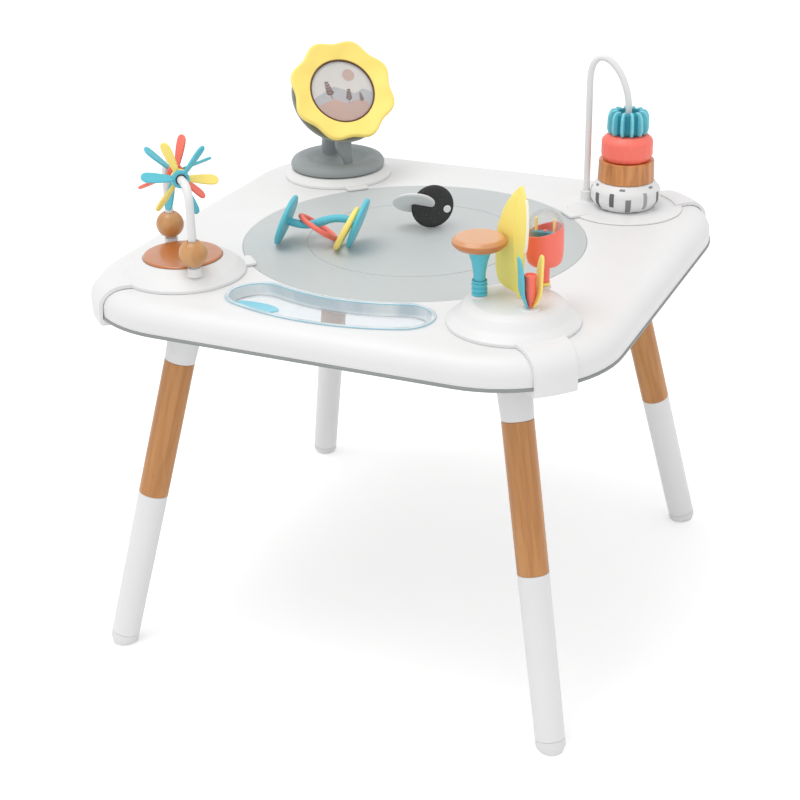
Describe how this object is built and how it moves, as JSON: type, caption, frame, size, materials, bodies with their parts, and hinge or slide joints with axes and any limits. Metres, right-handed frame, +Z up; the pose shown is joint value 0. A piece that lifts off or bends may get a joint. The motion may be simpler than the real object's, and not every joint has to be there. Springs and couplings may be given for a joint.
{
  "type": "baby activity table",
  "caption": "Square baby activity table on splayed legs with a round centre disc, a snack tray and clip-on toy pods that spin, slide, stack and turn.",
  "frame": {"origin": "centre of the table on the floor, at the level of the foot soles", "axes": "+Z up, -Y towards the side with the snack tray, +X to the right of someone standing there"},
  "size_m": [0.6096, 0.6096, 0.6452],
  "materials": {
    "white_plastic": "satin moulded",
    "grey_plastic": "fine matt",
    "dark_grey_plastic": "fine matt",
    "beech_wood": "clear lacquered",
    "copper_brown_plastic": "satin",
    "teal_plastic": "satin",
    "coral_plastic": "satin",
    "yellow_plastic": "satin",
    "black_plastic": "grained matt",
    "picture_card": "printed card",
    "clear_plastic": "clear",
    "blue_clear_plastic": "clear tinted"
  },
  "bodies": {
    "table": {"leg_top_back_right": "white_plastic", "leg_wood_back_right": "beech_wood", "leg_lower_back_right": "white_plastic", "leg_foot_back_right": "grey_plastic", "leg_top_back_left": "white_plastic", "leg_wood_back_left": "beech_wood", "leg_lower_back_left": "white_plastic", "leg_foot_back_left": "grey_plastic", "leg_top_front_left": "white_plastic", "leg_wood_front_left": "beech_wood", "leg_lower_front_left": "white_plastic", "leg_foot_front_left": "grey_plastic", "leg_top_front_right": "white_plastic", "leg_wood_front_right": "beech_wood", "leg_lower_front_right": "white_plastic", "leg_foot_front_right": "grey_plastic", "deck_shell": "white_plastic", "deck_underpan": "dark_grey_plastic", "centre_disc": "grey_plastic", "spinner_base": "white_plastic", "spinner_inlay": "copper_brown_plastic", "spinner_arch": "white_plastic", "flower_base": "white_plastic", "flower_stand": "dark_grey_plastic", "flower_dish": "dark_grey_plastic", "stacker_base": "white_plastic", "stacker_wire": "white_plastic", "discovery_base": "white_plastic", "mushroom_collar": "teal_plastic"},
    "front_star": {"spinner_teal_front": "teal_plastic", "spinner_yellow": "yellow_plastic"},
    "rear_star": {"spinner_coral": "coral_plastic", "spinner_teal_rear": "teal_plastic"},
    "front_bead": {"bead_front": "copper_brown_plastic"},
    "rear_bead": {"bead_rear": "copper_brown_plastic"},
    "flower": {"flower_petals": "yellow_plastic", "flower_picture": "picture_card", "flower_window": "clear_plastic"},
    "stack_dashed": {"ring_dashed": "white_plastic"},
    "stack_wood": {"ring_wood": "copper_brown_plastic"},
    "stack_coral": {"ring_coral": "coral_plastic"},
    "stack_teal": {"ring_teal": "teal_plastic"},
    "mushroom": {"mushroom_stem": "teal_plastic", "mushroom_cap": "copper_brown_plastic"},
    "leaf": {"leaf_flap": "yellow_plastic"},
    "tulip": {"tulip_bud": "coral_plastic", "tulip_petal_teal": "teal_plastic", "tulip_petal_yellow": "yellow_plastic"},
    "rattle": {"rattle_foot": "yellow_plastic", "rattle_cup": "coral_plastic", "rattle_dome": "clear_plastic"},
    "rattle_inside": {"rattle_rotor": "teal_plastic"},
    "tray": {"snack_tray": "clear_plastic", "tray_lens": "blue_clear_plastic"},
    "spool": {"spool_body": "teal_plastic"},
    "loose_ring_coral": {"spool_ring_coral": "coral_plastic"},
    "loose_ring_yellow": {"spool_ring_yellow": "yellow_plastic"},
    "black_disc": {"disc_black": "black_plastic"},
    "white_disc": {"disc_white": "white_plastic"}
  },
  "joints": [
    {"name": "front_star_spin", "type": "hinge", "parent": "table", "child": "front_star", "pos_m": [-0.195, -0.195, 0.573], "axis": [0.7071, -0.7071, 0], "continuous": true},
    {"name": "rear_star_spin", "type": "hinge", "parent": "table", "child": "rear_star", "pos_m": [-0.195, -0.195, 0.573], "axis": [0.7071, -0.7071, 0], "continuous": true},
    {"name": "front_bead_slide", "type": "slide", "parent": "table", "child": "front_bead", "axis": [0, 0, 1], "range_m": [0, 0.038]},
    {"name": "rear_bead_slide", "type": "slide", "parent": "table", "child": "rear_bead", "axis": [0, 0, 1], "range_m": [0, 0.038]},
    {"name": "flower_spin", "type": "hinge", "parent": "table", "child": "flower", "pos_m": [-0.17789, 0.17789, 0.5732], "axis": [0.5721, -0.5721, 0.5878], "continuous": true},
    {"name": "stack_dashed_spin", "type": "hinge", "parent": "table", "child": "stack_dashed", "pos_m": [0.195, 0.195, 0.483], "axis": [0, 0, 1], "continuous": true},
    {"name": "stack_wood_spin", "type": "hinge", "parent": "table", "child": "stack_wood", "pos_m": [0.195, 0.195, 0.512], "axis": [0, 0, 1], "continuous": true},
    {"name": "stack_coral_spin", "type": "hinge", "parent": "table", "child": "stack_coral", "pos_m": [0.195, 0.195, 0.5414], "axis": [0, 0, 1], "continuous": true},
    {"name": "stack_teal_spin", "type": "hinge", "parent": "table", "child": "stack_teal", "pos_m": [0.195, 0.195, 0.57], "axis": [0, 0, 1], "continuous": true},
    {"name": "mushroom_wobble", "type": "hinge", "parent": "table", "child": "mushroom", "pos_m": [0.1603, -0.2018, 0.5032], "axis": [0.6018, 0.7986, 0], "range_deg": [-8, 8], "stiffness_Nm_per_rad": 0.12},
    {"name": "leaf_turn", "type": "hinge", "parent": "table", "child": "leaf", "pos_m": [0.2012, -0.1938, 0.4872], "axis": [0, 0, 1], "range_deg": [-30, 0]},
    {"name": "tulip_spin", "type": "hinge", "parent": "table", "child": "tulip", "pos_m": [0.22, -0.2164, 0.4872], "axis": [0, 0, 1], "continuous": true},
    {"name": "rattle_spin", "type": "hinge", "parent": "table", "child": "rattle", "pos_m": [0.2123, -0.1524, 0.4872], "axis": [0, 0, 1], "continuous": true},
    {"name": "rattle_inside_spin", "type": "hinge", "parent": "rattle", "child": "rattle_inside", "pos_m": [0.2123, -0.1524, 0.542], "axis": [0, 0, 1], "continuous": true},
    {"name": "tray_lift", "type": "slide", "parent": "table", "child": "tray", "axis": [0, 0, 1], "range_m": [0, 0.06]},
    {"name": "spool_lift", "type": "slide", "parent": "table", "child": "spool", "axis": [0, 0, 1], "range_m": [0, 0.15]},
    {"name": "loose_ring_coral_turn", "type": "hinge", "parent": "spool", "child": "loose_ring_coral", "pos_m": [-0.09713, -0.05599, 0.4798], "axis": [0.4395, 0.3918, 0.8083], "continuous": true},
    {"name": "loose_ring_yellow_turn", "type": "hinge", "parent": "spool", "child": "loose_ring_yellow", "pos_m": [-0.05576, -0.06508, 0.4862], "axis": [0.8525, 0.2, -0.483], "continuous": true},
    {"name": "black_disc_lift", "type": "slide", "parent": "table", "child": "black_disc", "axis": [0, 0, 1], "range_m": [0, 0.15]},
    {"name": "white_disc_pull", "type": "slide", "parent": "black_disc", "child": "white_disc", "axis": [-0.7364, -0.6179, 0.2756], "range_m": [0, 0.03]}
  ]
}
